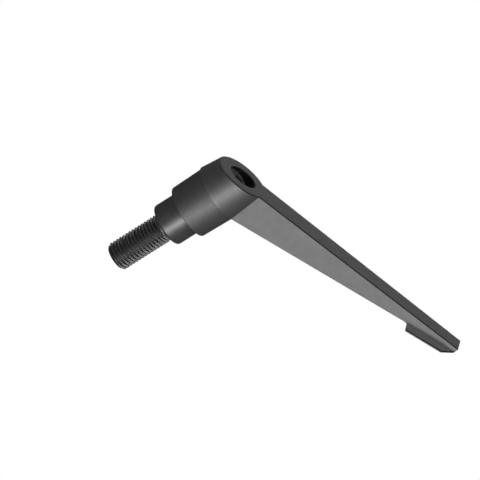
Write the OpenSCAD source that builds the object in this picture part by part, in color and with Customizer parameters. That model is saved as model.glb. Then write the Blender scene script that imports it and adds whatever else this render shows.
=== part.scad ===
// Adjustable clamping lever with a threaded stud.
// A spring holds the lever up against the head of the retaining screw, where
// it turns freely. Pressed down, its inner teeth mesh with the serration of
// the insert, and the lever tightens or loosens the stud.
// Millimetres. Z is the axis of the stud and X the direction of the arm. The
// origin lies on the axis, in the seating face under the head of the insert.

/* [Insert] */
// Diameter of the stud over its thread
stud_d = 16; // [12:0.5:20]
// Length of the stud below the seating face
stud_l = 33.5; // [20:0.5:60]
// Chamfer on the end of the stud
stud_chamfer = 1.4; // [0.5:0.1:2]
// Diameter of the head of the insert
head_d = 24; // [22:0.1:30]
// Height of the head of the insert
head_h = 32; // [28:0.5:45]
// Round on the lower edge of the head
head_round = 1.3; // [0.3:0.1:2]
// Chamfer on the top edge of the head
head_chamfer = 0.4; // [0.2:0.05:0.6]
// Number of teeth around the head
teeth = 36; // [24:12:48]
// Length of the grooves between the teeth
groove_l = 10.2; // [6:0.1:16]
// Depth of the grooves
groove_depth = 0.8; // [0.5:0.05:1]
// Share of the tooth pitch that a groove takes at its mouth
groove_mouth = 0.56; // [0.5:0.01:0.6]
// Share of the tooth pitch that a groove takes at its floor
groove_floor = 0.3; // [0.25:0.01:0.35]
// Depth of the tapped hole past the end of the screw
tap_extra = 3; // [1:0.5:6]

/* [Retaining screw] */
// Diameter of the screw head
screw_head_d = 14.6; // [13:0.1:17]
// Height of the screw head
screw_head_h = 7.8; // [6:0.1:10]
// Round on the lower edge of the screw head
screw_head_round = 0.9; // [0.2:0.1:1.2]
// Width across the flats of the hexagon socket
socket_af = 6; // [4:0.5:8]
// Depth of the hexagon socket
socket_depth = 4.4; // [3:0.1:5.5]
// Diameter of the shoulder that the lever slides on
shoulder_d = 9.5; // [8.5:0.1:10.5]
// Length of the shoulder
shoulder_l = 7.7; // [7.2:0.1:10]
// Diameter of the screw over its thread
screw_d = 6; // [4:0.1:8]
// Length of the screw thread
screw_l = 9.2; // [6:0.1:14]
// Chamfer on the top of the head and on the ends of shoulder and thread
screw_chamfer = 0.5; // [0.2:0.1:0.8]

/* [Spring] */
// Diameter of the spring wire
wire_d = 0.6; // [0.4:0.05:0.7]
// Number of turns of the spring
turns = 5; // [3:1:6]
// Growth of the spring's radius from its top to its foot
spring_flare = 1.4; // [0.5:0.1:2]
// Radial clearance between the top of the spring and the shoulder
spring_play = 0.35; // [0.2:0.05:0.6]

/* [Lever hub] */
// Wall of the hub at its lower rim
hub_wall = 3; // [2.5:0.1:5]
// Chamfer on the lower rim of the hub, outside and inside
rim_chamfer = 0.4; // [0.2:0.05:0.8]
// Draft of the hub below its step, in degrees
hub_draft = 1.5; // [0.5:0.1:3]
// Height of the step above the lower rim of the hub
step_h = 19.3; // [16:0.1:24]
// Width of the step
step_w = 0.65; // [0.3:0.05:1.5]
// Taper of the hub above its step, in degrees
hub_taper = 4.6; // [2:0.1:7]
// Height of the insert's head that stays bare below the hub
collar_h = 14.2; // [11:0.1:17]
// Depth of the screw head below the top of the hub, on the axis
screw_sink = 2.9; // [2.4:0.1:5]
// Thickness of the web under the screw head
web_t = 2; // [1.5:0.1:3]
// Slope of the top of the lever, in degrees
top_slope = 15.75; // [10:0.05:18]

/* [Lever arm] */
// Distance from the axis to the tip of the arm
reach = 141.7; // [110:0.1:180]
// Width of the arm at its root, measured on the axis of the hub
arm_w_root = 17.7; // [15:0.1:20]
// Width of the arm at its tip
arm_w_tip = 12.3; // [8:0.1:14]
// Height of the arm at its root, measured on the axis of the hub
arm_h_root = 22.7; // [17:0.1:25]
// Height of the arm at its tip
arm_h_tip = 2.4; // [1.5:0.1:5]
// Radius of the fillets between hub and arm, seen from above
neck_fillet = 1.5; // [1:0.5:4]
// Length of the finger pad
pad_l = 27.7; // [18:0.1:40]
// Width of the finger pad
pad_w = 30; // [26:0.1:44]
// Thickness of the finger pad
pad_t = 1.8; // [1.5:0.1:3]
// Thickness that the bevels leave at the rim of the finger pad
pad_rim = 1; // [0.5:0.1:1.4]
// Width of the bevels under the rim of the finger pad
pad_bevel = 5; // [2:0.1:6]
// Length of the slanted corners of the finger pad
pad_slant = 6.5; // [4:0.1:12]

/* [Clearances] */
// Radial clearance of the hub on the head of the insert
head_play = 0.06; // [0.03:0.01:0.1]
// Clearance of the inner teeth at each flank and at their tips
tooth_play = 0.1; // [0.05:0.01:0.15]
// Height of the inner teeth above the insert while the lever is up
teeth_lift = 0.3; // [0.1:0.05:0.5]
// Radial clearance of the web on the shoulder
shoulder_play = 0.05; // [0.03:0.01:0.1]
// Radial clearance of the top bore round the screw head
bore_play = 0.2; // [0.1:0.05:0.6]
// Radial clearance of the screw in the tapped hole
screw_play = 0.05; // [0.02:0.01:0.1]

/* [Hidden] */
$fn = 96;

// Overlap of cutting shapes past the faces that they open
past = 1;

// Heights on the axis, from the seating face
screw_seat = head_h + shoulder_l;
web_z = screw_seat - web_t;
screw_top = screw_seat + screw_head_h;
hub_top = screw_top + screw_sink;
step_z = collar_h + step_h;

// Radii of the hub
cavity_r = head_d / 2 + head_play;
hub_r = cavity_r + hub_wall;
hub_r_mid = hub_r + step_h * tan(hub_draft);
hub_r_step = hub_r_mid + step_w;
top_bore_r = screw_head_d / 2 + bore_play;

// Height of the sloping top face at a distance from the axis
function top_at(x) = hub_top + x * tan(top_slope);

// Radius of the hub at a height above its step
function hub_r_at(z) = hub_r_step - (z - step_z) * tan(hub_taper);

// Half width of the arm, and height of its underside, at a distance from the axis
function arm_half(x) = (arm_w_root + (arm_w_tip - arm_w_root) * x / reach) / 2;
function under_at(x) = top_at(x) - arm_h_root - (arm_h_tip - arm_h_root) * x / reach;
arm_taper = atan(arm_half(0) - arm_half(1));
under_slope = atan(under_at(1) - under_at(0));

// ---- Insert ----

// One groove: a wedge with straight flanks, wide at its mouth
module groove(play) {
    pitch = 360 / teeth;
    floor_r = head_d / 2 - groove_depth + play;
    mouth_r = head_d / 2 + past;
    floor_half = head_d / 2 * sin(pitch * groove_floor / 2) - play;
    mouth_half = head_d / 2 * sin(pitch * groove_mouth / 2) - play;
    flare = (mouth_half - floor_half) / (groove_depth - play);
    mouth_past = mouth_half + past * flare;
    polygon([[floor_r, -floor_half], [mouth_r, -mouth_past], [mouth_r, mouth_past], [floor_r, floor_half]]);
}

// Section through the serration, as cut on the insert or, grown by its
// clearances, as cast inside the lever
module serration(outer_r, play) {
    difference() {
        circle(outer_r);
        for (i = [0 : teeth - 1]) rotate(i * 360 / teeth) groove(play);
    }
}

// Profile of the insert: stud, seating face and head, revolved round Z
module insert_blank() {
    stud_r = stud_d / 2;
    head_r = head_d / 2;
    rotate_extrude() {
        polygon([
            [0, -stud_l], [stud_r - stud_chamfer, -stud_l], [stud_r, stud_chamfer - stud_l],
            [stud_r, 0], [head_r - head_round, 0], [head_r - head_round, head_round],
            [head_r, head_round], [head_r, head_h - head_chamfer], [head_r - head_chamfer, head_h],
            [0, head_h]
        ]);
        intersection() {
            translate([head_r - head_round, head_round]) circle(head_round);
            translate([head_r - head_round, 0]) square(head_round);
        }
    }
}

module threaded_insert() {
    color("dimgray") difference() {
        insert_blank();
        translate([0, 0, head_h - groove_l]) linear_extrude(groove_l + past)
            for (i = [0 : teeth - 1]) rotate(i * 360 / teeth) groove(0);
        translate([0, 0, head_h - screw_l - tap_extra])
            cylinder(h = screw_l + tap_extra + past, r = screw_d / 2 + screw_play);
    }
}

// ---- Retaining screw ----

module retaining_screw() {
    head_r = screw_head_d / 2;
    body_r = shoulder_d / 2;
    thread_r = screw_d / 2;
    color("#202020") difference() {
        rotate_extrude() {
            polygon([
                [0, head_h - screw_l], [thread_r - screw_chamfer, head_h - screw_l],
                [thread_r, head_h - screw_l + screw_chamfer], [thread_r, head_h],
                [body_r - screw_chamfer, head_h], [body_r, head_h + screw_chamfer],
                [body_r, screw_seat], [head_r - screw_head_round, screw_seat],
                [head_r - screw_head_round, screw_seat + screw_head_round],
                [head_r, screw_seat + screw_head_round], [head_r, screw_top - screw_chamfer],
                [head_r - screw_chamfer, screw_top], [0, screw_top]
            ]);
            intersection() {
                translate([head_r - screw_head_round, screw_seat + screw_head_round])
                    circle(screw_head_round);
                translate([head_r - screw_head_round, screw_seat]) square(screw_head_round);
            }
        }
        translate([0, 0, screw_top - socket_depth])
            cylinder(h = socket_depth + past, d = socket_af / cos(30), $fn = 6);
    }
}

// ---- Spring ----

// The wire is swept along a conical helix, and its ends are flat
spring_h = web_z - head_h;
wire_sides = 8;
turn_steps = 24;
spring_steps = turns * turn_steps;
spring_r_top = shoulder_d / 2 + spring_play + wire_d / 2;

function coil_r(s) = spring_r_top + spring_flare * (1 - s);
function coil_z(s) = head_h + wire_d / 2 + (spring_h - wire_d) * s;

function coil_ring(s) = [
    for (k = [0 : wire_sides - 1])
        let (a = 360 * turns * s, b = 360 * k / wire_sides, r = coil_r(s) + wire_d / 2 * cos(b))
            [r * cos(a), r * sin(a), coil_z(s) + wire_d / 2 * sin(b)]
];

module return_spring() {
    points = [for (i = [0 : spring_steps]) each coil_ring(i / spring_steps)];
    skin = [
        for (i = [0 : spring_steps - 1], k = [0 : wire_sides - 1])
            let (a = i * wire_sides + k, b = i * wire_sides + (k + 1) % wire_sides)
                [a, a + wire_sides, b + wire_sides, b]
    ];
    first = [for (k = [0 : wire_sides - 1]) k];
    last = [for (k = [0 : wire_sides - 1]) spring_steps * wire_sides + wire_sides - 1 - k];
    color("silver") polyhedron(points, concat([first], skin, [last]));
}

// ---- Lever ----

// A shape drawn in X and Z, given its width along Y
module across(width) {
    rotate([90, 0, 0]) linear_extrude(width, center = true) children();
}

// Hub with its draft, its step and its taper, before its top is cut
module hub_blank() {
    rise = top_at(hub_r_step) + past;
    rotate_extrude() polygon([
        [0, collar_h], [hub_r - rim_chamfer, collar_h], [hub_r, collar_h + rim_chamfer],
        [hub_r_mid, step_z], [hub_r_step, step_z],
        [hub_r_at(rise), rise], [0, rise]
    ]);
}

// Wedge that fills the corner between hub and arm, seen from above, with the
// side of the arm along X. Its round edge dives just inside both.
module neck_fillet_plan() {
    dive = 0.05;
    side_y = arm_half(0) * cos(arm_taper);
    round_y = side_y + neck_fillet - dive;
    round_x = sqrt(pow(hub_r_at(top_at(hub_r_step)) + neck_fillet, 2) - pow(round_y, 2));
    difference() {
        polygon([[0, 0], [round_x, round_y], [round_x, 0]]);
        translate([round_x, round_y]) circle(neck_fillet);
    }
}

// Outline of the arm from above
module arm_plan() {
    polygon([
        [0, -arm_half(0)], [reach, -arm_half(reach)], [reach, arm_half(reach)], [0, arm_half(0)]
    ]);
    rotate(-arm_taper) neck_fillet_plan();
    mirror([0, 1]) rotate(-arm_taper) neck_fillet_plan();
}

// Tapering arm, before its top is cut. Its underside steps down into the
// finger pad, so that the two are one piece.
module arm_blank() {
    pad_x = reach - pad_l;
    sink = pad_t / 8;
    run = 2 * sink;
    intersection() {
        linear_extrude(top_at(reach) + past) arm_plan();
        across(2 * pad_w) polygon([
            [0, under_at(0)], [pad_x - run, under_at(pad_x - run)],
            [pad_x + run, under_at(pad_x + run) - sink], [reach, under_at(reach) - sink],
            [reach, top_at(reach) + past], [0, top_at(0) + past]
        ]);
    }
}

// Outline of the finger pad from above, with its two slanted corners
module pad_plan() {
    back_x = reach - pad_l - past;
    corner_x = reach - pad_slant;
    half = pad_w / 2;
    tip_half = arm_half(reach);
    polygon([
        [back_x, -half], [corner_x, -half], [reach, -tip_half],
        [reach, tip_half], [corner_x, half], [back_x, half]
    ]);
}

// Flat finger pad: its top goes on from the underside of the arm and its back
// edge is undercut. Flat bevels under its sides and slanted corners make it
// thinner towards the rim.
module pad() {
    half = pad_w / 2;
    back_x = (reach - pad_l) / cos(under_slope);
    corner_x = reach - pad_slant;
    corner_z = under_at(corner_x) - pad_rim / cos(under_slope);
    slant = atan2(half - arm_half(reach), pad_slant / cos(under_slope));
    bevel = atan((pad_t - pad_rim) / pad_bevel);
    difference() {
        intersection() {
            linear_extrude(top_at(reach)) pad_plan();
            translate([0, 0, under_at(0)]) rotate([0, -under_slope, 0]) across(2 * pad_w)
                polygon([[back_x, 0], [back_x + pad_t, -pad_t], [2 * reach, -pad_t], [2 * reach, 0]]);
        }
        for (side = [0, 1], turn = [0, -slant])
            mirror([0, side, 0]) translate([corner_x, half, corner_z]) rotate([0, -under_slope, 0])
                rotate([bevel, 0, turn]) translate([-reach, -reach, -reach])
                    cube([2 * reach, 2 * reach, reach]);
    }
}

module lever_handle() {
    color("#4a4a4a") difference() {
        union() {
            hub_blank();
            arm_blank();
            pad();
        }
        // the sloping top face of hub and arm
        translate([0, 0, hub_top]) rotate([0, -top_slope, 0])
            translate([-reach, -reach, 0]) cube([3 * reach, 2 * reach, reach]);
        // the hollow that slides on the head of the insert, and its teeth
        translate([0, 0, collar_h - past])
            cylinder(h = head_h + teeth_lift - collar_h + past, r = cavity_r);
        translate([0, 0, collar_h - past])
            cylinder(h = 2 * past, r1 = cavity_r + rim_chamfer + past, r2 = cavity_r + rim_chamfer - past);
        translate([0, 0, head_h]) linear_extrude(spring_h)
            serration(cavity_r, tooth_play);
        // the web on the shoulder of the screw, and the bore round its head
        translate([0, 0, web_z - past])
            cylinder(h = web_t + 2 * past, r = shoulder_d / 2 + shoulder_play);
        translate([0, 0, screw_seat])
            cylinder(h = hub_top, r = top_bore_r);
    }
}

threaded_insert();
return_spring();
lever_handle();
retaining_screw();
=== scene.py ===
# %% [markdown]
# # An adjustable clamping lever
#
# A clamping lever of this kind is made of four pieces. A turned steel insert has a threaded stud
# below and a ring of teeth above. A cast lever sits over its head. A shoulder screw holds the two
# together, and a small conical spring under the web of the lever keeps the lever up.
#
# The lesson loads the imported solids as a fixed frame, builds a finer mesh for each piece round the
# same axis, gives each one its finish, and sets up floor, light and camera.

# %% Load the frame
import math

import bpy
import bmesh
from mathutils import Matrix, Vector


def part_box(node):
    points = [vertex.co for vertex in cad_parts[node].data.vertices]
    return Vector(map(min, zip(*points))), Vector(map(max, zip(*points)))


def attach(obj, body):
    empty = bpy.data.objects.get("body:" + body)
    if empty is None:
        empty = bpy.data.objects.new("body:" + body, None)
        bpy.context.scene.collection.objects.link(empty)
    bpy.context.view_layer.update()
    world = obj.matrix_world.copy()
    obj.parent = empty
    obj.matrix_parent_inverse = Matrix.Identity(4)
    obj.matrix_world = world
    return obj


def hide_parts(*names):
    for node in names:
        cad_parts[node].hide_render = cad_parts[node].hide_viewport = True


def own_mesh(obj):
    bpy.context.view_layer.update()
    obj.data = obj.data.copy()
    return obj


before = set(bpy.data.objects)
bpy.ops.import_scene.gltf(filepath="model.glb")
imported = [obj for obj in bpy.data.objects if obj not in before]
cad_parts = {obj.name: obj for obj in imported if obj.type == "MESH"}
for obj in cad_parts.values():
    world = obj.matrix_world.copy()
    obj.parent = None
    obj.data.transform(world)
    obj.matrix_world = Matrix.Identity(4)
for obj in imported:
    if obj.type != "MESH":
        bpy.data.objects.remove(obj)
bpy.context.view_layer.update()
print("nodes in the frame:", ", ".join(sorted(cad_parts)))

# %% [markdown]
# ## Measures
#
# The drawing of the real part is in millimetres, and so is the modelling below. Small sizes in
# metres would come close to the limits inside the bevel and Boolean tools. Each finished mesh is
# scaled down to metres once, at the end. The main sizes come from the boxes of the solids, so the
# pieces fit the frame with no trial and error. The arm ends a hair inside its box, so that the
# rounding of numbers can't push it out.

# %% Main sizes, read from the frame
MM = 0.001
box_room = 0.01


def box_mm(node):
    """Lowest and highest corner of a solid, in millimetres."""
    low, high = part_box(node)
    return Vector(low) / MM, Vector(high) / MM


insert_low, insert_high = box_mm("threaded_insert")
screw_low, screw_high = box_mm("retaining_screw")
spring_low, spring_high = box_mm("return_spring")
lever_low, lever_high = box_mm("lever_handle")

head_r = insert_high.x
head_h = insert_high.z
stud_l = -insert_low.z
screw_head_r = screw_high.x
screw_top = screw_high.z
screw_end = screw_low.z
web_z = spring_high.z
reach = lever_high.x - box_room
collar_h = lever_low.z
print(f"head {2 * head_r:.1f} x {head_h:.1f} mm, stud {stud_l:.1f} mm, reach {reach:.1f} mm")

# %% [markdown]
# ## Turned shapes
#
# Insert and screw are turned on a lathe: a tool follows half of an outline while the bar spins.
# The same is done here. A few vertices draw the outline, a vertex bevel rounds the corners that a
# real tool would round, and `spin` sweeps the outline once round Z. Merging the doubles closes the
# seam and the poles, and the normals are recalculated after that, because a spin can turn a shape
# inside out. The sweep may start at a small angle, so that the facets of two shapes that will cut
# each other never lie exactly in line, which Boolean tools don't like.

# %% Turn an outline into a solid
TURNED_STEPS = 192


def clean(shape):
    """Close seams and poles of a shape, then point its faces outwards."""
    bmesh.ops.remove_doubles(shape, verts=shape.verts, dist=0.001)
    bmesh.ops.recalc_face_normals(shape, faces=shape.faces)
    return shape


def bevel(shape, geometry, width, segments, affect="EDGES"):
    """Round or chamfer edges, or the corners of an outline, and return the new faces."""
    return bmesh.ops.bevel(
        shape, geom=geometry, offset=width, offset_type="OFFSET", segments=segments,
        profile=0.5, affect=affect, clamp_overlap=False, material=-1)["faces"]


def turned(outline, steps=TURNED_STEPS, start=0.0):
    """Spin (radius, height, round, segments) corners into a closed solid."""
    shape = bmesh.new()
    corners = [shape.verts.new((corner[0], 0, corner[1])) for corner in outline]
    for first, second in zip(corners, corners[1:]):
        shape.edges.new((first, second))
    for vertex, corner in zip(corners, outline):
        if len(corner) > 2:
            bevel(shape, [vertex], corner[2], corner[3], "VERTICES")
    bmesh.ops.rotate(shape, verts=shape.verts, cent=(0, 0, 0),
                     matrix=Matrix.Rotation(start, 3, "Z"))
    bmesh.ops.spin(
        shape, geom=shape.verts[:] + shape.edges[:], cent=(0, 0, 0), axis=(0, 0, 1),
        angle=math.tau, steps=steps, use_merge=True)
    return clean(shape)


# %% [markdown]
# ## Joining and cutting
#
# Drilling, milling and casting leave closed shapes that were cut by other closed shapes. A Boolean
# modifier does that between two objects, so a helper turns two shapes into objects for a moment
# and reads the result back. The modifier works in several threads, so corners and faces can come
# back in another order on the next run, and merging and beveling depend on that order a little.
# So a second helper sorts them by their places, which keeps one run like the next.

# %% Sort the parts of a shape
def settled(shape):
    """Copy a shape with its parts in an order that depends on their places alone."""
    copy = bmesh.new()
    points = sorted(shape.verts, key=lambda vertex: vertex.co[:])
    rank = {vertex: number for number, vertex in enumerate(points)}
    twins = [copy.verts.new(vertex.co) for vertex in points]
    rings = []
    for face in shape.faces:
        ring = [rank[vertex] for vertex in face.verts]
        first = ring.index(min(ring))
        rings.append((ring[first:] + ring[:first], face.material_index))
    for ring, material_index in sorted(rings):
        copy.faces.new([twins[number] for number in ring]).material_index = material_index
    copy.normal_update()
    shape.free()
    return copy


# %% Combine two closed shapes
def combine(first, second, operation):
    """Return first joined with, cut by or limited to second."""
    objects = []
    for shape in (first, second):
        mesh = bpy.data.meshes.new("shape")
        shape.to_mesh(mesh)
        shape.free()
        objects.append(bpy.data.objects.new("shape", mesh))
        bpy.context.scene.collection.objects.link(objects[-1])
    boolean = objects[0].modifiers.new("combine", "BOOLEAN")
    boolean.operation, boolean.solver, boolean.object = operation, "EXACT", objects[1]
    result = bmesh.new()
    result.from_object(objects[0], bpy.context.evaluated_depsgraph_get())
    result = settled(result)
    bmesh.ops.remove_doubles(result, verts=result.verts, dist=0.0005)
    for item in objects:
        mesh = item.data
        bpy.data.objects.remove(item)
        bpy.data.meshes.remove(mesh)
    return result


def open_edges(shape):
    """Count the edges that don't join exactly two faces."""
    return sum(len(edge.link_faces) != 2 for edge in shape.edges)


# %% [markdown]
# ## A screw thread
#
# A real thread is cut or rolled along a helix. Its section is a row of 60 degree teeth with flat
# crests and slightly hollow roots. `spin` has a step vector that lifts the section a little with
# each step, so one tooth makes a turn of the helix. A second `spin`, with no angle and a step of
# one pitch, stacks copies of that turn, which is much faster than spinning on. The ends are drawn
# to a point on the axis, well past the part that is needed, and the thread is then limited to a
# turned blank, which gives it the chamfers of the real one.

# %% Spin one tooth into a thread
THREAD_STEPS = 96


def threaded(radius, pitch, start, end):
    """Closed thread along Z, longer than from start to end at both sides."""
    depth = 0.5413 * pitch
    root, crest = pitch / 4, pitch / 8
    flank = (pitch - root - crest) / 2
    tooth = [
        (radius - depth, 0), (radius - depth * 1.06, root / 2), (radius - depth, root),
        (radius, root + flank), (radius, root + flank + crest), (radius - depth, pitch)]
    turns = math.ceil((end - start) / pitch) + 4
    shape = bmesh.new()
    corners = [shape.verts.new((r, 0, start - 2 * pitch + z)) for r, z in tooth]
    edges = [shape.edges.new(pair) for pair in zip(corners, corners[1:])]
    bmesh.ops.spin(
        shape, geom=corners + edges, cent=(0, 0, 0), axis=(0, 0, 1),
        dvec=(0, 0, pitch / THREAD_STEPS), angle=math.tau, steps=THREAD_STEPS)
    bmesh.ops.spin(
        shape, geom=shape.verts[:] + shape.edges[:] + shape.faces[:], cent=(0, 0, 0),
        axis=(0, 0, 1), dvec=(0, 0, pitch), angle=0, steps=turns - 1, use_duplicate=True)
    bmesh.ops.remove_doubles(shape, verts=shape.verts, dist=0.001)
    middle = (start + end) / 2
    for low in (True, False):
        rim = [edge for edge in shape.edges
               if edge.is_boundary and (edge.verts[0].co.z < middle) == low]
        skirt = bmesh.ops.extrude_edge_only(shape, edges=rim)["geom"]
        tips = [item for item in skirt if isinstance(item, bmesh.types.BMVert)]
        height = sum(tip.co.z for tip in tips) / len(tips)
        bmesh.ops.pointmerge(shape, verts=tips, merge_co=(0, 0, height))
    return clean(shape)


# %% [markdown]
# ## The insert
#
# The insert is a bar of free-cutting steel, turned to two diameters, with a metric thread rolled on
# the stud. A short undercut next to the seating face lets the thread die out. The hollow of the
# lever slides on the thick head. The stud could be a plain cylinder with a bump pattern, but its
# outline would stay smooth, so the thread is real. Its flanks look sideways and its crests and
# roots look outwards. That tells their faces apart: later the flanks get a lighter copy of the
# steel, painted light, and the crests and roots a darker copy, painted shade.

# %% Turn the head and roll the stud
stud_r = 8.0
stud_pitch = 2.0
stud_chamfer = 1.4
undercut_l = 1.9
undercut_r = 6.6
inside = 1.0

head = turned([
    (0, -undercut_l - inside), (undercut_r, -undercut_l - inside), (undercut_r, 0, 0.35, 3),
    (head_r, 0, 1.3, 6), (head_r, head_h, 0.4, 2), (0, head_h)], start=0.011)
stud_blank = turned([
    (0, -stud_l), (stud_r - stud_chamfer, -stud_l), (stud_r + 0.02, stud_chamfer - stud_l),
    (stud_r + 0.02, -undercut_l - 1), (undercut_r - 0.2, -undercut_l),
    (0, -undercut_l)])
stud = combine(threaded(stud_r, stud_pitch, -stud_l, 0), stud_blank, "INTERSECT")
flank_limit = 0.75
# Material 1 paints light on the flanks, material 2 paints shade on the crests and roots.
for face in stud.faces:
    middle = face.calc_center_median()
    outwards = Vector((middle.x, middle.y, 0)).normalized()
    face.material_index = 1 if abs(face.normal.dot(outwards)) < flank_limit else 2
insert_shape = combine(head, stud, "UNION")
print("insert: faces", len(insert_shape.faces), "open edges", open_edges(insert_shape))

# %% [markdown]
# ## The serration and the tapped hole
#
# The teeth are what makes this kind of lever work, so they are cut as real grooves with flat ends.
# All grooves are one wedge, made from a cube whose inner face is narrower than its outer face, and
# copied round the axis with `spin`. The tapped hole is cut with the thread shape itself.

# %% Cut the serration and the tapped hole
teeth = 36
groove_l = 10.2
groove_depth = 0.8
groove_mouth = 0.56
groove_floor = 0.3
screw_r = 3.0
screw_pitch = 1.0
screw_play = 0.05
tap_extra = 3.0


def wedge_ring(inner_r, inner_half, outer_r, outer_half, low, high, count):
    """A ring of wedges, for grooves that are wide at their mouths."""
    shape = bmesh.new()
    corners = bmesh.ops.create_cube(shape, size=1)["verts"]
    for vertex in corners:
        outer = vertex.co.x > 0
        half = outer_half if outer else inner_half
        vertex.co = (outer_r if outer else inner_r, math.copysign(half, vertex.co.y),
                     high if vertex.co.z > 0 else low)
    bmesh.ops.spin(
        shape, geom=shape.verts[:] + shape.edges[:] + shape.faces[:], cent=(0, 0, 0),
        axis=(0, 0, 1), angle=math.tau * (count - 1) / count, steps=count - 1,
        use_duplicate=True)
    bmesh.ops.recalc_face_normals(shape, faces=shape.faces)
    return shape


def groove_half(share):
    """Half width of a groove that takes a share of the tooth pitch at the outside."""
    return head_r * math.sin(math.pi * share / teeth)


floor_half = groove_half(groove_floor)
mouth_half = groove_half(groove_mouth)
mouth_past = mouth_half + inside * (mouth_half - floor_half) / groove_depth
insert_shape = combine(insert_shape, wedge_ring(
    head_r - groove_depth, floor_half, head_r + inside, mouth_past,
    head_h - groove_l, head_h + inside, teeth), "DIFFERENCE")

hole_r = screw_r + screw_play
hole_end = screw_end - tap_extra
hole_blank = turned([
    (0, hole_end - 1.2), (hole_r - 0.8, hole_end), (hole_r + 0.02, hole_end + 0.8),
    (hole_r + 0.02, head_h - 0.3), (hole_r + 1.0, head_h + 0.65), (0, head_h + 0.65)], 96)
tap = combine(
    threaded(hole_r, screw_pitch, hole_end - 1, head_h + 1), hole_blank, "INTERSECT")
insert_shape = combine(insert_shape, tap, "DIFFERENCE")
print("insert: faces", len(insert_shape.faces), "open edges", open_edges(insert_shape))

# %% [markdown]
# ## The shoulder screw
#
# The screw is turned too. Its shoulder is hard and smooth, because the lever slides on it. The
# socket has a countersunk mouth and the cone that the drill left below the broached hexagon.

# %% Turn the screw and broach its socket
shoulder_r = 4.75
screw_seat = screw_top - 7.8
socket_af = 6.0
socket_depth = 4.4

screw_body = turned([
    (0, head_h - 2.2), (2.3, head_h - 2.2), (2.3, head_h - 0.05, 0.1, 2), (3.6, head_h),
    (shoulder_r, head_h, 0.5, 3), (shoulder_r, screw_seat - 0.7, 0.1, 2),
    (shoulder_r - 0.25, screw_seat - 0.45, 0.1, 2), (shoulder_r - 0.25, screw_seat, 0.15, 2),
    (screw_head_r, screw_seat, 0.9, 6), (screw_head_r, screw_top, 0.5, 3), (0, screw_top)],
    start=0.011)
screw_blank = turned([
    (0, screw_end), (screw_r - 0.7, screw_end), (screw_r + 0.02, screw_end + 0.7),
    (screw_r + 0.02, head_h - 1.8), (2.1, head_h - 1), (0, head_h - 1)], 96)
screw_thread = combine(
    threaded(screw_r, screw_pitch, hole_end - 1, head_h + 1), screw_blank, "INTERSECT")
screw_shape = combine(screw_body, screw_thread, "UNION")

hexagon = bmesh.new()
hexagon_r = socket_af / 2 / math.cos(math.pi / 6)
bmesh.ops.create_cone(
    hexagon, cap_ends=True, segments=6, radius1=hexagon_r, radius2=hexagon_r,
    depth=socket_depth + inside,
    matrix=Matrix.Translation((0, 0, screw_top + (inside - socket_depth) / 2))
    @ Matrix.Rotation(math.pi / 6, 4, "Z"))
socket_relief = turned([
    (0, screw_top - socket_depth - 1.2), (socket_af / 2 - 0.2, screw_top - socket_depth + 0.3),
    (socket_af / 2 - 0.2, screw_top - 0.8), (socket_af / 2 + 1.1, screw_top + 0.5),
    (0, screw_top + 0.5)], 96)
socket = combine(hexagon, socket_relief, "UNION")
screw_shape = combine(screw_shape, socket, "DIFFERENCE")
print("screw: faces", len(screw_shape.faces), "open edges", open_edges(screw_shape))

# %% [markdown]
# ## The spring
#
# The spring is wound from round wire on a cone. One ring of vertices is the section of the wire.
# It is extruded step by step. After each step the new ring turns a little round Z, moves in and
# rises. The first and last half turn rise less, as on a real spring whose ends lie flat.

# %% Wind the spring
wire_r = 0.3
coils = 5
coil_steps = 36
wire_sides = 12
end_flat = 0.55


def coil_rise(share):
    """Share of the height that the wire has reached, flatter at both ends."""
    eased = share * share * (3 - 2 * share)
    return share + end_flat * (eased - share)


spring_top_r = shoulder_r + 0.35 + wire_r
spring_foot_r = spring_top_r + 1.4
spring_h = spring_high.z - spring_low.z - 2 * wire_r
spring_shape = bmesh.new()
section = bmesh.ops.create_circle(
    spring_shape, cap_ends=False, segments=wire_sides, radius=wire_r,
    matrix=Matrix.Rotation(math.pi / 2, 4, "X"))["verts"]
bmesh.ops.translate(
    spring_shape, verts=section, vec=(spring_foot_r, 0, spring_low.z + wire_r))
ring = spring_shape.edges[:]
bmesh.ops.contextual_create(spring_shape, geom=ring)
steps = coils * coil_steps
inwards = (spring_top_r - spring_foot_r) / steps
for step in range(steps):
    grown = bmesh.ops.extrude_edge_only(spring_shape, edges=ring)["geom"]
    section = [item for item in grown if isinstance(item, bmesh.types.BMVert)]
    ring = [edge for edge in grown if isinstance(edge, bmesh.types.BMEdge)
            and all(vertex in section for vertex in edge.verts)]
    angle = math.tau * step / coil_steps
    rise = spring_h * (coil_rise((step + 1) / steps) - coil_rise(step / steps))
    bmesh.ops.translate(
        spring_shape, verts=section,
        vec=(inwards * math.cos(angle), inwards * math.sin(angle), rise))
    bmesh.ops.rotate(
        spring_shape, verts=section, cent=(0, 0, 0),
        matrix=Matrix.Rotation(math.tau / coil_steps, 3, "Z"))
bmesh.ops.contextual_create(spring_shape, geom=ring)
clean(spring_shape)
print("spring: faces", len(spring_shape.faces), "open edges", open_edges(spring_shape))

# %% [markdown]
# ## The lever: hub
#
# The lever is cast in one piece and coated. Its hub has a draft below a small step and a steeper
# taper above it. The outline is turned, with the small rounds that every casting has.

# %% Turn the hub
cavity_r = head_r + 0.06
hub_r = cavity_r + 3.0
step_z = collar_h + 19.3
hub_r_mid = hub_r + (step_z - collar_h) * math.tan(math.radians(1.5))
hub_r_step = hub_r_mid + 0.65
hub_taper = math.radians(4.6)
hub_top = screw_top + 2.9
top_slope = math.radians(15.75)


def top_at(x):
    """Height of the sloping top face."""
    return hub_top + x * math.tan(top_slope)


blank_top = top_at(hub_r_step) + inside
blank_top_r = hub_r_step - (blank_top - step_z) * math.tan(hub_taper)
lever_shape = turned([
    (0, collar_h), (hub_r, collar_h, 0.4, 3), (hub_r_mid, step_z, 0.15, 2),
    (hub_r_step, step_z, 0.3, 3), (blank_top_r, blank_top), (0, blank_top)])

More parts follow.
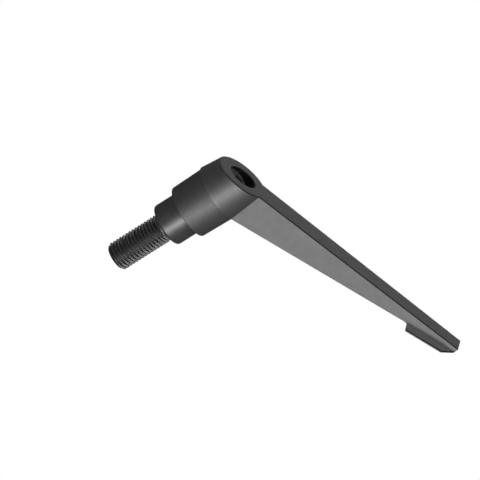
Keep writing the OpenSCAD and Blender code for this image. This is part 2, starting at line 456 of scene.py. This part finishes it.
# %% [markdown]
# ## The lever: arm and finger pad
#
# From above, the arm is a long trapezium with a small fillet at each side of its root, where it
# grows out of the hub. From the side, its underside rises more steeply than its top, so it gets
# thinner towards the tip. The outline from above is extruded upwards, each fillet is a wedge with
# a hollow edge, and `bisect_plane` cuts the underside. The pad is a thin plate under the tip. The
# same tool shaves flat bevels from its underside, so its rim is thin.

# %% Extrude the arm and shave the pad
arm_w_root, arm_w_tip = 17.7, 12.3
arm_h_root, arm_h_tip = 22.7, 2.4
pad_l, pad_w, pad_t = 27.7, 30.0, 1.8
pad_rim, pad_bevel, pad_slant = 1.0, 5.0, 6.5
neck_fillet, neck_dive = 1.5, 0.1

under_rise = (top_at(reach) - arm_h_tip - top_at(0) + arm_h_root) / reach
under_slope = math.atan(under_rise)
arm_taper = math.atan((arm_w_root - arm_w_tip) / 2 / reach)


def under_at(x):
    """Height of the arm's underside."""
    return hub_top - arm_h_root + x * under_rise


def prism(outline, low, high):
    """Extrude an outline in X and Y from one height to another."""
    shape = bmesh.new()
    face = shape.faces.new([shape.verts.new((x, y, low)) for x, y in outline])
    grown = bmesh.ops.extrude_face_region(shape, geom=[face])["geom"]
    lifted = [item for item in grown if isinstance(item, bmesh.types.BMVert)]
    bmesh.ops.translate(shape, verts=lifted, vec=(0, 0, high - low))
    bmesh.ops.recalc_face_normals(shape, faces=shape.faces)
    return shape


def shave(shape, point, normal):
    """Cut away what lies beyond a plane and close the cut."""
    cut = bmesh.ops.bisect_plane(
        shape, geom=shape.verts[:] + shape.edges[:] + shape.faces[:], dist=0.0001,
        plane_co=point, plane_no=normal, clear_outer=True)["geom_cut"]
    bmesh.ops.contextual_create(
        shape, geom=[item for item in cut if isinstance(item, bmesh.types.BMEdge)])
    bmesh.ops.recalc_face_normals(shape, faces=shape.faces)


blank_low, blank_high = 0.0, top_at(reach) + 5
arm = prism([(0, -arm_w_root / 2), (reach, -arm_w_tip / 2),
             (reach, arm_w_tip / 2), (0, arm_w_root / 2)], blank_low, blank_high)
side_y = arm_w_root / 2 * math.cos(arm_taper)
neck_y = side_y + neck_fillet - neck_dive
neck_hub_r = hub_r_step - (top_at(hub_r_step) - step_z) * math.tan(hub_taper)
neck_x = math.sqrt((neck_hub_r + neck_fillet) ** 2 - neck_y ** 2)
for side in (-1, 1):
    neck = prism([(3, 0), (neck_x, side * neck_y), (neck_x, 0)],
                 blank_low - inside, blank_high + inside)
    hollow = bmesh.new()
    bmesh.ops.create_cone(
        hollow, cap_ends=True, segments=48, radius1=neck_fillet, radius2=neck_fillet,
        depth=4 * blank_high, matrix=Matrix.Translation((neck_x, side * neck_y, 0)))
    neck = combine(neck, hollow, "DIFFERENCE")
    bmesh.ops.rotate(neck, verts=neck.verts, cent=(0, 0, 0),
                     matrix=Matrix.Rotation(-side * arm_taper, 3, "Z"))
    arm = combine(arm, neck, "UNION")
down = Vector((math.sin(under_slope), 0, -math.cos(under_slope)))
shave(arm, (0, 0, under_at(0)), down)

corner_x, half = reach - pad_slant, pad_w / 2
pad = prism([(reach - pad_l - 2, -half), (corner_x, -half), (reach, -arm_w_tip / 2),
             (reach, arm_w_tip / 2), (corner_x, half), (reach - pad_l - 2, half)],
            blank_low, blank_high)
along = Vector((math.cos(under_slope), 0, math.sin(under_slope)))
back_edge = Vector((reach - pad_l, 0, under_at(reach - pad_l)))
shave(pad, back_edge, -down)
shave(pad, back_edge + down * pad_t, down)
shave(pad, back_edge, (down - along).normalized())
bevel_angle = math.atan((pad_t - pad_rim) / pad_bevel)
slant = math.atan2(half - arm_w_tip / 2, pad_slant / math.cos(under_slope))
for side in (-1, 1):
    for turn in (0, slant):
        outwards = (Vector((0, side * math.cos(turn), 0)) + along * math.sin(turn))
        rim = Vector((corner_x, side * half, under_at(corner_x))) + down * pad_rim
        normal = down * math.cos(bevel_angle) + outwards * math.sin(bevel_angle)
        shave(pad, rim, normal)
lever_shape = combine(lever_shape, arm, "UNION")
lever_shape = combine(lever_shape, pad, "UNION")
print("lever: arm rises", round(math.degrees(under_slope), 1), "degrees below,",
      round(math.degrees(top_slope), 2), "above")

# %% [markdown]
# ## The lever: top face and hollows
#
# The top of hub and arm is one flat face, so one cut makes both. The hollow below holds the head of
# the insert and the bore above holds the head of the screw, with a web between them that the spring
# pushes up. High in the hollow are the counterparts of the serration. They are the same wedges,
# made a little smaller, so that the teeth slide in with some play.

# %% Cut the top face and the hollows, add the inner teeth
top_normal = Vector((-math.sin(top_slope), 0, math.cos(top_slope)))
top_point = Vector((0, 0, hub_top))
shave(lever_shape, top_point, top_normal)

teeth_lift = 0.3
tooth_play = 0.1
web_hole_r = shoulder_r + 0.05
bore_r = screw_head_r + 0.2
cavity = turned([
    (0, collar_h - inside), (cavity_r + 0.4 + inside, collar_h - inside),
    (cavity_r, collar_h + 0.4), (cavity_r, web_z), (0, web_z)], start=0.007)
lever_shape = combine(lever_shape, cavity, "DIFFERENCE")
flare = (mouth_half - floor_half) / (groove_depth - tooth_play)
inner_teeth = wedge_ring(
    head_r - groove_depth + tooth_play, floor_half - tooth_play, head_r + inside,
    mouth_half - tooth_play + inside * flare, head_h + teeth_lift, web_z + inside, teeth)
lever_shape = combine(lever_shape, inner_teeth, "UNION")
bore = turned([
    (0, web_z - inside), (web_hole_r, web_z - inside), (web_hole_r, screw_seat),
    (bore_r, screw_seat, 0.2, 3), (bore_r, blank_high), (0, blank_high)], start=0.018)
lever_shape = combine(lever_shape, bore, "DIFFERENCE")
print("lever: faces", len(lever_shape.faces), "open edges", open_edges(lever_shape))

# %% [markdown]
# ## The lever: small rounds
#
# A casting has no sharp edge, and the coating rounds it a little more. Only the outline of the top
# face, the mouth of the bore, the lower edges of the arm and the rim of the pad are sharp now. The
# Bevel modifier could round all of them at once, but not each with its own radius. Edges between
# faces that lie in one plane are left out, because they come from the Boolean tool and not from
# the form. A cut across the arm gives the round under it a place to run out before the pad. Each
# face keeps the number of its finish. The rounds of the top and of the pad's rim get the number of
# a darker coat, which paints a line of shade along these edges; the rounds under the arm stay plain.

# %% Round the edges of the top, the arm and the pad
# Finish numbers: plain coat, painted shade on edge rounds, darkest painted shade in the bore.
PLAIN, EDGE_SHADE, BORE_SHADE = 0, 1, 2
top_round = 0.55
under_round = 0.5
rim_round = 0.6
run_out = 1.5
long_edge = 50
tip_part = 10


def real_edges(shape, point, normal, keep):
    """Edges in a plane, between faces that meet at an angle, whose ends pass a test."""
    found = []
    for edge in shape.edges:
        first, second = (vertex.co for vertex in edge.verts)
        in_plane = max(abs((first - point).dot(normal)), abs((second - point).dot(normal))) < 0.01
        if in_plane and edge.calc_face_angle() > math.radians(12) and keep(first, second):
            found.append(edge)
    return found


def round_off(shape, point, normal, width, segments, finish, keep=lambda first, second: True):
    """Round the edges in a plane, give the new faces a finish, and count the edges."""
    shape = settled(shape)
    edges = real_edges(shape, point, normal, keep)
    for face in bevel(shape, edges, width, segments):
        face.material_index = finish
    return shape, len(edges)


bmesh.ops.remove_doubles(lever_shape, verts=lever_shape.verts, dist=0.002)
bmesh.ops.bisect_plane(
    lever_shape, geom=lever_shape.verts[:] + lever_shape.edges[:] + lever_shape.faces[:],
    dist=0.0001, plane_co=back_edge - along * run_out, plane_no=along)
# The top outline's rounds get painted shade: a dark line along the edge.
lever_shape, top_edges = round_off(lever_shape, top_point, top_normal, top_round, 3, EDGE_SHADE)

under_point = Vector((0, 0, under_at(0)))
lever_shape, arm_edges = round_off(
    lever_shape, under_point, down, under_round, 3, PLAIN,
    lambda first, second: abs(first.x - second.x) > long_edge
    and max(first.x, second.x) < reach - tip_part)
# The pad rim's rounds get painted shade as well.
lever_shape, rim_edges = round_off(
    lever_shape, under_point, down, rim_round, 4, EDGE_SHADE,
    lambda first, second: max(abs(first.y), abs(second.y)) > half - 0.1)
print("lever: edges of top", top_edges, "arm", arm_edges, "rim", rim_edges)
print("lever: faces", len(lever_shape.faces), "open edges", open_edges(lever_shape))

# %% [markdown]
# ## The lever: walls of the bore
#
# The bore looks almost black beside the top face, because it is a deep hole in shade. Its walls get
# the darkest copy of the coat, which paints that shade on. They are found by where their middles
# lie: above the seat of the screw, and no farther from the axis than the round at the mouth. Parts
# of the top face pass this test too, because they reach round the bore, so faces that look the way
# the top face does are left out.

# %% Mark the walls of the bore
same_way = 0.99
walls = 0
for face in lever_shape.faces:
    middle = face.calc_center_median()
    near_bore = middle.z > screw_seat and math.hypot(middle.x, middle.y) < bore_r + top_round
    if near_bore and face.normal.dot(top_normal) < same_way:
        # Painted shade: the bore's walls get the darkest copy of the coat.
        face.material_index = BORE_SHADE
        walls += 1
print("lever: faces of the bore", walls)

# %% [markdown]
# ## Finishes
#
# Every finish starts from a Principled shader. Noise at several scales varies the colour, the
# roughness and the height a little, because no real surface is even. It is read in Object
# coordinates, so it needs no unwrapping and stays on the piece when the lever turns. The helpers
# below each add one kind of node, so a finish can be read line by line.

# %% Helpers for node trees
def new_finish(name):
    """Material with its node tree, its shader and its Object coordinates."""
    material = bpy.data.materials.new(name)
    material.use_nodes = True
    tree = material.node_tree
    shader = tree.nodes["Principled BSDF"]
    place = tree.nodes.new("ShaderNodeTexCoord").outputs["Object"]
    return material, tree, shader, place


def noise(tree, place, scale, detail=2.0, roughness=0.5):
    """Noise texture at a number of grains per metre."""
    node = tree.nodes.new("ShaderNodeTexNoise")
    node.inputs["Scale"].default_value = scale
    node.inputs["Detail"].default_value = detail
    node.inputs["Roughness"].default_value = roughness
    tree.links.new(place, node.inputs["Vector"])
    return node.outputs["Fac"]


def remap(tree, value, low, high, start=0.3, end=0.7):
    """Spread a noise over the range from low to high."""
    node = tree.nodes.new("ShaderNodeMapRange")
    for socket, number in zip(("From Min", "From Max", "To Min", "To Max"),
                              (start, end, low, high)):
        node.inputs[socket].default_value = number
    tree.links.new(value, node.inputs["Value"])
    return node.outputs["Result"]


def tint(tree, value, dark, light):
    """Mix two greys by a value from 0 to 1."""
    node = tree.nodes.new("ShaderNodeMix")
    node.data_type = "RGBA"
    node.inputs["A"].default_value = (dark, dark, dark, 1)
    node.inputs["B"].default_value = (light, light, light, 1)
    tree.links.new(value, node.inputs["Factor"])
    return node.outputs["Result"]


def relief(tree, value, height, strength=1.0, normal=None):
    """Bump of a height in metres."""
    node = tree.nodes.new("ShaderNodeBump")
    node.inputs["Distance"].default_value = height
    node.inputs["Strength"].default_value = strength
    tree.links.new(value, node.inputs["Height"])
    if normal:
        tree.links.new(normal, node.inputs["Normal"])
    return node.outputs["Normal"]


# %% [markdown]
# ## The coat of the casting
#
# The lever is cast and then coated in a dark satin grey that shines softly like metal. A coat like
# that could be a plain black paint, but paint has a small hard highlight, and this one spreads its
# light widely over the round hub. So the shader is mostly metallic, with a high roughness. A fine
# grain and a slower wave in the surface are the skin of the casting under the coat. The small rounds
# of the edges get a darker copy of the same finish, which is painted shade: dark lines along the
# edges. This painted shade fades out towards the back of the hub, and reads the X coordinate of the
# piece for that. The walls of the bore get the darkest copy, which is painted shade in the hole.

# %% Make the coat and its copies with painted shade
# Between these X positions, in metres, the painted shade on the edge rounds fades out behind the
# axis.
FADE_START, FADE_END = -0.011, -0.002


def cast_coat(name, dark, light, behind=None):
    """Satin metallic coat of a casting, whose copies with painted shade can fade to another grey
    behind the axis.
    """
    material, tree, shader, place = new_finish(name)
    shader.inputs["Metallic"].default_value = 0.87
    shader.inputs["Specular Tint"].default_value = (0.3, 0.3, 0.3, 1)
    cloud = remap(tree, noise(tree, place, 240, 4), 0, 1)
    colour = tint(tree, cloud, dark, light)
    # The painted shade on the edge rounds fades to a lighter grey behind the axis of the hub.
    if behind:
        split = tree.nodes.new("ShaderNodeSeparateXYZ")
        tree.links.new(place, split.inputs["Vector"])
        share = remap(tree, split.outputs["X"], 0, 1, FADE_START, FADE_END)
        fade = tint(tree, share, behind, behind)
        tree.links.new(colour, fade.node.inputs["B"])
        colour = fade
    tree.links.new(colour, shader.inputs["Base Color"])
    tree.links.new(remap(tree, noise(tree, place, 300, 2), 0.55, 0.59),
                   shader.inputs["Roughness"])
    grain = relief(tree, noise(tree, place, 2600, 2), 0.00002, 0.5)
    tree.links.new(relief(tree, noise(tree, place, 500, 2), 0.000012, 0.4, grain),
                   shader.inputs["Normal"])
    return material


# The two darker copies paint shade: lines along the edge rounds, and the inside of the bore.
coat = cast_coat("cast_coat", 0.28, 0.305)
painted_edge_shade = cast_coat("cast_coat_painted_edge_shade", 0.055, 0.07, behind=0.16)
painted_bore_shade = cast_coat("cast_coat_painted_bore_shade", 0.045, 0.055)
print("coats:", coat.name, painted_edge_shade.name, painted_bore_shade.name)

# %% [markdown]
# ## Turned steel
#
# A lathe leaves fine rings round its axis. Seen as a pattern, they depend on the radius and the
# height only, not on the direction. So the noise is read at a point made of just these two, and it
# comes out as rings on the cylinders and as circles on the flat ends. The insert is blackened but
# still bright, and a part of its light is scattered by the black layer, so it is less metallic.
# The flanks of its thread get a lighter copy of the steel, which is painted light, and the crests
# and roots a darker copy, which is painted shade. The screw is black oxide, which is darker, and
# the spring is bright drawn wire.

# %% Make the steels
def turned_steel(name, dark, light, roughness, mark_height, metallic=1.0):
    """Steel whose fine rings follow the axis of the lathe."""
    material, tree, shader, place = new_finish(name)
    shader.inputs["Metallic"].default_value = metallic
    split = tree.nodes.new("ShaderNodeSeparateXYZ")
    tree.links.new(place, split.inputs["Vector"])
    flat = tree.nodes.new("ShaderNodeVectorMath")
    flat.operation = "MULTIPLY"
    flat.inputs[1].default_value = (1, 1, 0)
    tree.links.new(place, flat.inputs[0])
    radius = tree.nodes.new("ShaderNodeVectorMath")
    radius.operation = "LENGTH"
    tree.links.new(flat.outputs["Vector"], radius.inputs[0])
    rings = tree.nodes.new("ShaderNodeCombineXYZ")
    tree.links.new(radius.outputs["Value"], rings.inputs["X"])
    tree.links.new(split.outputs["Z"], rings.inputs["Z"])
    marks = noise(tree, rings.outputs["Vector"], 4000, 3, 0.7)
    cloud = remap(tree, noise(tree, place, 150, 3), 0, 1)
    tree.links.new(tint(tree, cloud, dark, light), shader.inputs["Base Color"])
    tree.links.new(remap(tree, marks, roughness - 0.05, roughness + 0.05),
                   shader.inputs["Roughness"])
    tree.links.new(relief(tree, marks, mark_height, 0.4), shader.inputs["Normal"])
    return material


blackened = turned_steel("blackened_bar", 0.26, 0.31, 0.40, 0.00001, 0.8)
oxide = turned_steel("oxide_coat", 0.10, 0.14, 0.36, 0.000008)
# A lighter copy for the thread's flanks paints light, a darker one for crests and roots paints
# shade.
flank = turned_steel("thread_flank_painted_light", 0.20, 0.24, 0.5, 0.00001, 0.9)
crest = turned_steel("thread_crest_painted_shade", 0.07, 0.10, 0.5, 0.00001)
wire = turned_steel("drawn_wire", 0.62, 0.7, 0.25, 0.000003)
print("steels:", ", ".join(steel.name for steel in (blackened, flank, crest, oxide, wire)))

# %% [markdown]
# ## Finished pieces
#
# Each shape is scaled to metres and given to an object at the origin. Faces are smooth except
# across real edges, and Weighted Normal keeps the large flat faces flat beside their small rounds.
# The piece then rides on the body of its solid, stands for it and names its finish. The spring
# gets a mesh of its own.

# %% Make the pieces
SHARP_ANGLE = math.radians(38)


def finished(name, shape, materials, body, node):
    """Turn a shape into a piece that rides on a body and stands for a node."""
    shape = settled(shape)
    bmesh.ops.scale(shape, vec=(MM, MM, MM), verts=shape.verts)
    for face in shape.faces:
        face.smooth = True
    for edge in shape.edges:
        edge.smooth = len(edge.link_faces) == 2 and edge.calc_face_angle() < SHARP_ANGLE
    mesh = bpy.data.meshes.new(name)
    shape.to_mesh(mesh)
    shape.free()
    for material in materials:
        mesh.materials.append(material)
    piece = bpy.data.objects.new(name, mesh)
    bpy.context.scene.collection.objects.link(piece)
    weighted = piece.modifiers.new("flat_faces", "WEIGHTED_NORMAL")
    weighted.keep_sharp = True
    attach(piece, body)
    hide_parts(node)
    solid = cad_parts[node]
    solid.data.materials.clear()
    solid.data.materials.append(materials[0])
    print(name, "has", len(mesh.polygons), "faces")
    return piece


finished("serrated_insert", insert_shape, [blackened, flank, crest], "insert",
         "threaded_insert")
spring_piece = finished("conical_spring", spring_shape, [wire], "spring",
                        "return_spring")
finished("cast_lever", lever_shape, [coat, painted_edge_shade, painted_bore_shade], "lever",
         "lever_handle")
finished("shoulder_screw", screw_shape, [oxide], "insert",
         "retaining_screw")

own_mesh(spring_piece)

# %% [markdown]
# ## Floor and surroundings
#
# A catalogue sets small machine parts on plain white, with no shadow. A floor that is really white
# would light the lever from below and wash out the dark coat. So floor and surroundings are white
# only to rays that come straight from the camera, and dim to all others. The floor lies well below
# the stud, so that low views see all of it.

# %% White floor and dim surroundings
floor_z = -0.10
floor_shape = bmesh.new()
bmesh.ops.create_grid(floor_shape, x_segments=1, y_segments=1, size=10,
                      matrix=Matrix.Translation((0, 0, floor_z)))
floor_mesh = bpy.data.meshes.new("floor")
floor_shape.to_mesh(floor_mesh)
floor_shape.free()
floor = bpy.data.objects.new("floor", floor_mesh)
bpy.context.scene.collection.objects.link(floor)
floor.visible_shadow = False


def white_to_camera(tree, inner, output):
    """Show plain white to the camera and the given shader to every other ray."""
    ray = tree.nodes.new("ShaderNodeLightPath")
    white = tree.nodes.new("ShaderNodeEmission" if output.type == "OUTPUT_MATERIAL"
                           else "ShaderNodeBackground")
    white.inputs["Color"].default_value = (1, 1, 1, 1)
    white.inputs["Strength"].default_value = 1
    mix = tree.nodes.new("ShaderNodeMixShader")
    tree.links.new(ray.outputs["Is Camera Ray"], mix.inputs["Fac"])
    tree.links.new(inner, mix.inputs[1])
    tree.links.new(white.outputs[0], mix.inputs[2])
    tree.links.new(mix.outputs[0], output.inputs["Surface"])


paper = bpy.data.materials.new("studio_paper")
paper.use_nodes = True
paper_tree = paper.node_tree
paper_shader = paper_tree.nodes["Principled BSDF"]
paper_shader.inputs["Base Color"].default_value = (0.1, 0.1, 0.1, 1)
paper_shader.inputs["Roughness"].default_value = 1
white_to_camera(paper_tree, paper_shader.outputs[0], paper_tree.nodes["Material Output"])
floor.data.materials.append(paper)

world = bpy.data.worlds.new("studio")
world.use_nodes = True
bpy.context.scene.world = world
room = world.node_tree.nodes["Background"]
room.inputs["Color"].default_value = (1, 1, 1, 1)
room.inputs["Strength"].default_value = 0.09
white_to_camera(world.node_tree, room.outputs[0], world.node_tree.nodes["World Output"])


# %% [markdown]
# ## Lights
#
# Metal shows what it mirrors, so each light is placed where a surface mirrors it to the camera. The
# key light stands low in front: it makes the bright band along the hub and the bright side of the
# arm. Three lights behind the lever shine on its top, on the pad and on the upper flanks of the
# thread. The arm would keep them from the pad, so they cast no shadow, and are sampled by light
# direction only. A soft light in front and one behind lift the sides that the key doesn't reach.
# Wide suns are used, because their light is the same at every distance.

# %% Place the lights
def sun(name, azimuth, elevation, strength, spread, shadow=True):
    """Far light that comes from a compass direction, in degrees."""
    data = bpy.data.lights.new(name, "SUN")
    data.energy = strength
    data.angle = math.radians(spread)
    data.use_shadow = data.cycles.use_multiple_importance_sampling = shadow
    lamp = bpy.data.objects.new(name, data)
    bpy.context.scene.collection.objects.link(lamp)
    rise, turn = math.radians(elevation), math.radians(azimuth)
    towards = Vector((math.cos(rise) * math.cos(turn), math.cos(rise) * math.sin(turn),
                      math.sin(rise)))
    lamp.rotation_euler = towards.to_track_quat("Z", "Y").to_euler()


sun("key", -83, -2, 1.18, 20)
sun("front", -52, 42, 0.34, 40)
sun("back", 66, -8, 0.6, 30)
sun("rear_left", 125, 16, 0.36, 30, shadow=False)
sun("rear", 92, 22, 0.12, 30, shadow=False)
sun("rear_right", 38, 42, 0.5, 30, shadow=False)
print("lights:", len(bpy.data.lights))

# %% [markdown]
# ## Camera
#
# A parallel projection keeps parallel edges parallel, as catalogue drawings do. The camera is
# turned so that the stud points down to the left and the arm to the lower right. Its three axes
# are given as vectors, which turn straight into the columns of its rotation. It aims a little
# beside the top of the hub, which leaves room for the arm.

# %% Place the camera
right = Vector((0.5824, 0.1036, 0.8063))
up = Vector((-0.7730, 0.3777, 0.5098))
back = Vector((-0.2517, -0.9202, 0.3001))
view_width = 0.2544
offset_right, offset_up = -0.001749, -0.03336
distance = 0.5
centre = Vector((0, 0, hub_top * MM)) + right * offset_right + up * offset_up
camera_data = bpy.data.cameras.new("camera")
camera_data.type = "ORTHO"
camera_data.ortho_scale = view_width
camera = bpy.data.objects.new("camera", camera_data)
camera.rotation_euler = Matrix((right, up, back)).transposed().to_euler()
camera.location = centre + back * distance
bpy.context.scene.collection.objects.link(camera)
bpy.context.scene.camera = camera
bpy.context.scene.view_settings.view_transform = "Standard"
